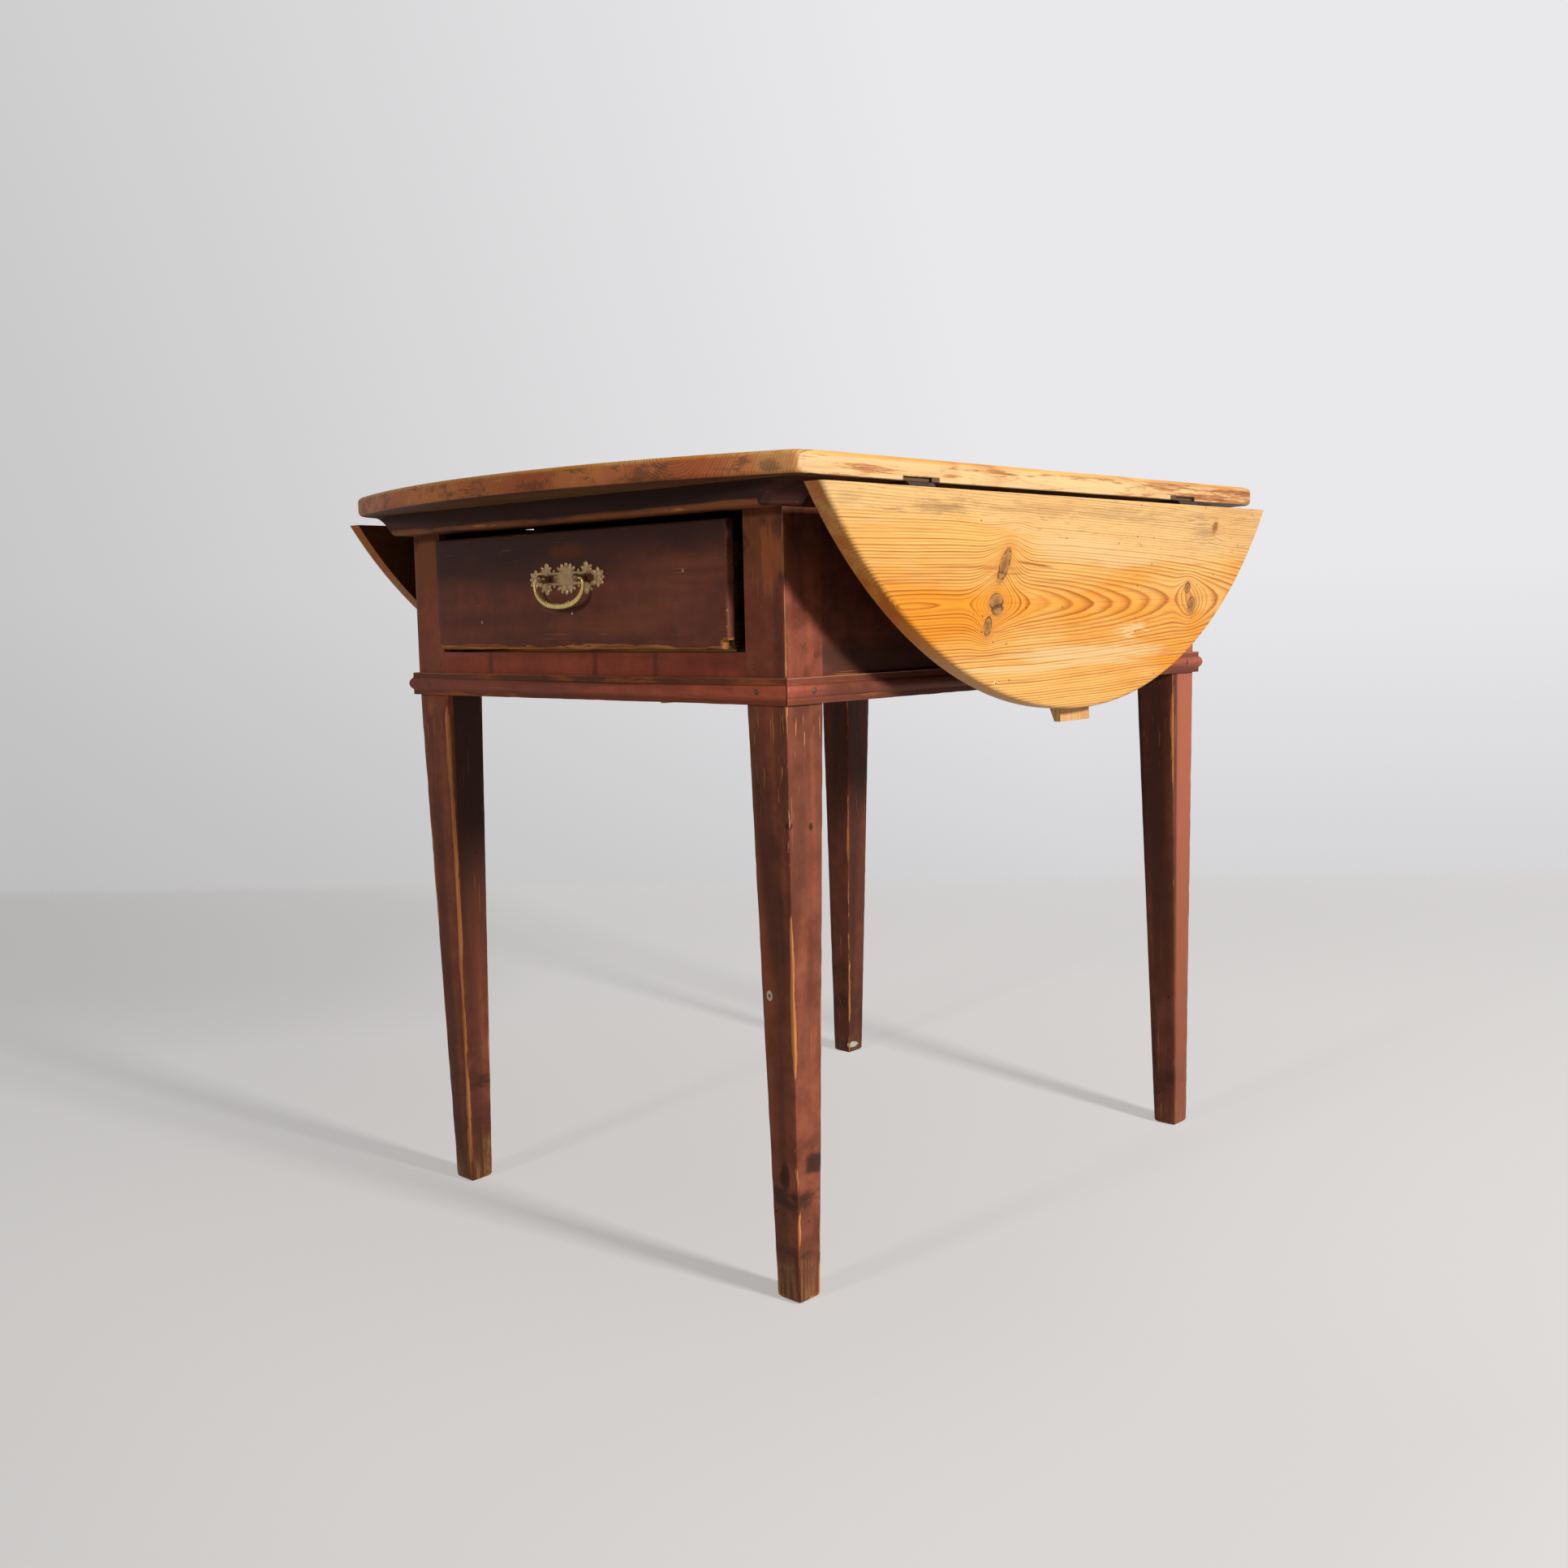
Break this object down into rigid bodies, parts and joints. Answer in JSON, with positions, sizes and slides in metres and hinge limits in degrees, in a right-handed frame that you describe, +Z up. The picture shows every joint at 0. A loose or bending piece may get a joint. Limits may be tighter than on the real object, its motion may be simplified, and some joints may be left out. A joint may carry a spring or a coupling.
{
  "type": "pembroke table",
  "caption": "Drop-leaf pine table with tapered legs, an end drawer on a brass bail pull and hinged leaves on swing stays.",
  "frame": {"origin": "on the floor under the middle of the base", "axes": "+Z up, +X towards the leaf at the right, -Y towards the drawer's front"},
  "size_m": [0.706, 0.92, 0.76],
  "materials": {
    "painted_pine": "worn oxide red paint with dark graining",
    "scrubbed_pine": "honey coloured old pine, bare",
    "drawer_pine": "bare aged pine",
    "stay_pine": "bare pale pine",
    "brass": "antique brass",
    "iron": "dark wrought iron"
  },
  "bodies": {
    "frame": {"batten_front": "painted_pine", "batten_pegs": "drawer_pine", "batten_rear": "painted_pine", "drawer_guide_left": "drawer_pine", "drawer_guide_right": "drawer_pine", "drawer_kickers": "drawer_pine", "drawer_runner_left": "drawer_pine", "drawer_runner_right": "drawer_pine", "frame_pegs": "painted_pine", "front_rail": "painted_pine", "hinge_pin_left_front": "iron", "hinge_pin_left_rear": "iron", "hinge_pin_right_front": "iron", "hinge_pin_right_rear": "iron", "hinge_plate_top_left_front": "iron", "hinge_plate_top_left_rear": "iron", "hinge_plate_top_right_front": "iron", "hinge_plate_top_right_rear": "iron", "hinge_screws_top": "iron", "leg_front_left": "painted_pine", "leg_front_right": "painted_pine", "leg_rear_left": "painted_pine", "leg_rear_right": "painted_pine", "moulding_front": "painted_pine", "moulding_left": "painted_pine", "moulding_nails": "iron", "moulding_rear": "painted_pine", "moulding_right": "painted_pine", "rear_rail": "painted_pine", "side_rail_left": "painted_pine", "side_rail_right": "painted_pine", "top_board_left": "scrubbed_pine", "top_board_middle": "scrubbed_pine", "top_board_right": "scrubbed_pine"},
    "drawer": {"drawer_back": "drawer_pine", "drawer_bottom": "drawer_pine", "drawer_front": "painted_pine", "drawer_side_left": "drawer_pine", "drawer_side_right": "drawer_pine", "pull_backplate": "brass", "pull_nuts": "brass", "pull_post_left": "brass", "pull_post_right": "brass"},
    "bail": {"pull_bail": "brass"},
    "leaf_right_body": {"hinge_plate_leaf_right_front": "iron", "hinge_plate_leaf_right_rear": "iron", "hinge_screws_leaf_right": "iron", "leaf_right": "scrubbed_pine", "stay_bracket_right": "iron", "stay_pin_right": "iron", "stay_screws_right": "iron"},
    "leaf_left_body": {"hinge_plate_leaf_left_front": "iron", "hinge_plate_leaf_left_rear": "iron", "hinge_screws_leaf_left": "iron", "leaf_left": "scrubbed_pine", "stay_bracket_left": "iron", "stay_pin_left": "iron", "stay_screws_left": "iron"},
    "stay_right_body": {"leaf_stay_right": "stay_pine"},
    "stay_left_body": {"leaf_stay_left": "stay_pine"}
  },
  "joints": [
    {"name": "drawer_slide", "type": "slide", "parent": "frame", "child": "drawer", "axis": [0, -1, 0], "range_m": [-0.01, 0.38]},
    {"name": "bail_swing", "type": "hinge", "parent": "drawer", "child": "bail", "pos_m": [-0.004, -0.377, 0.665], "axis": [-1, 0, 0], "range_deg": [0, 90]},
    {"name": "leaf_right_hinge", "type": "hinge", "parent": "frame", "child": "leaf_right_body", "pos_m": [0.328, 0, 0.735], "axis": [0, -1, 0], "range_deg": [0, 90]},
    {"name": "stay_right_swing", "type": "hinge", "parent": "leaf_right_body", "child": "stay_right_body", "pos_m": [0.3225, 0.011, 0.708], "axis": [0, -1, 0], "range_deg": [-112, 0]},
    {"name": "leaf_left_hinge", "type": "hinge", "parent": "frame", "child": "leaf_left_body", "pos_m": [-0.328, 0, 0.735], "axis": [0, 1, 0], "range_deg": [0, 90]},
    {"name": "stay_left_swing", "type": "hinge", "parent": "leaf_left_body", "child": "stay_left_body", "pos_m": [-0.3225, 0.08, 0.708], "axis": [0, 1, 0], "range_deg": [-112, 0]}
  ],
  "couplings": [
    {"joint": "stay_right_swing", "follows": "leaf_right_hinge", "ratio": -1.2444},
    {"joint": "stay_left_swing", "follows": "leaf_left_hinge", "ratio": -1.2444}
  ]
}
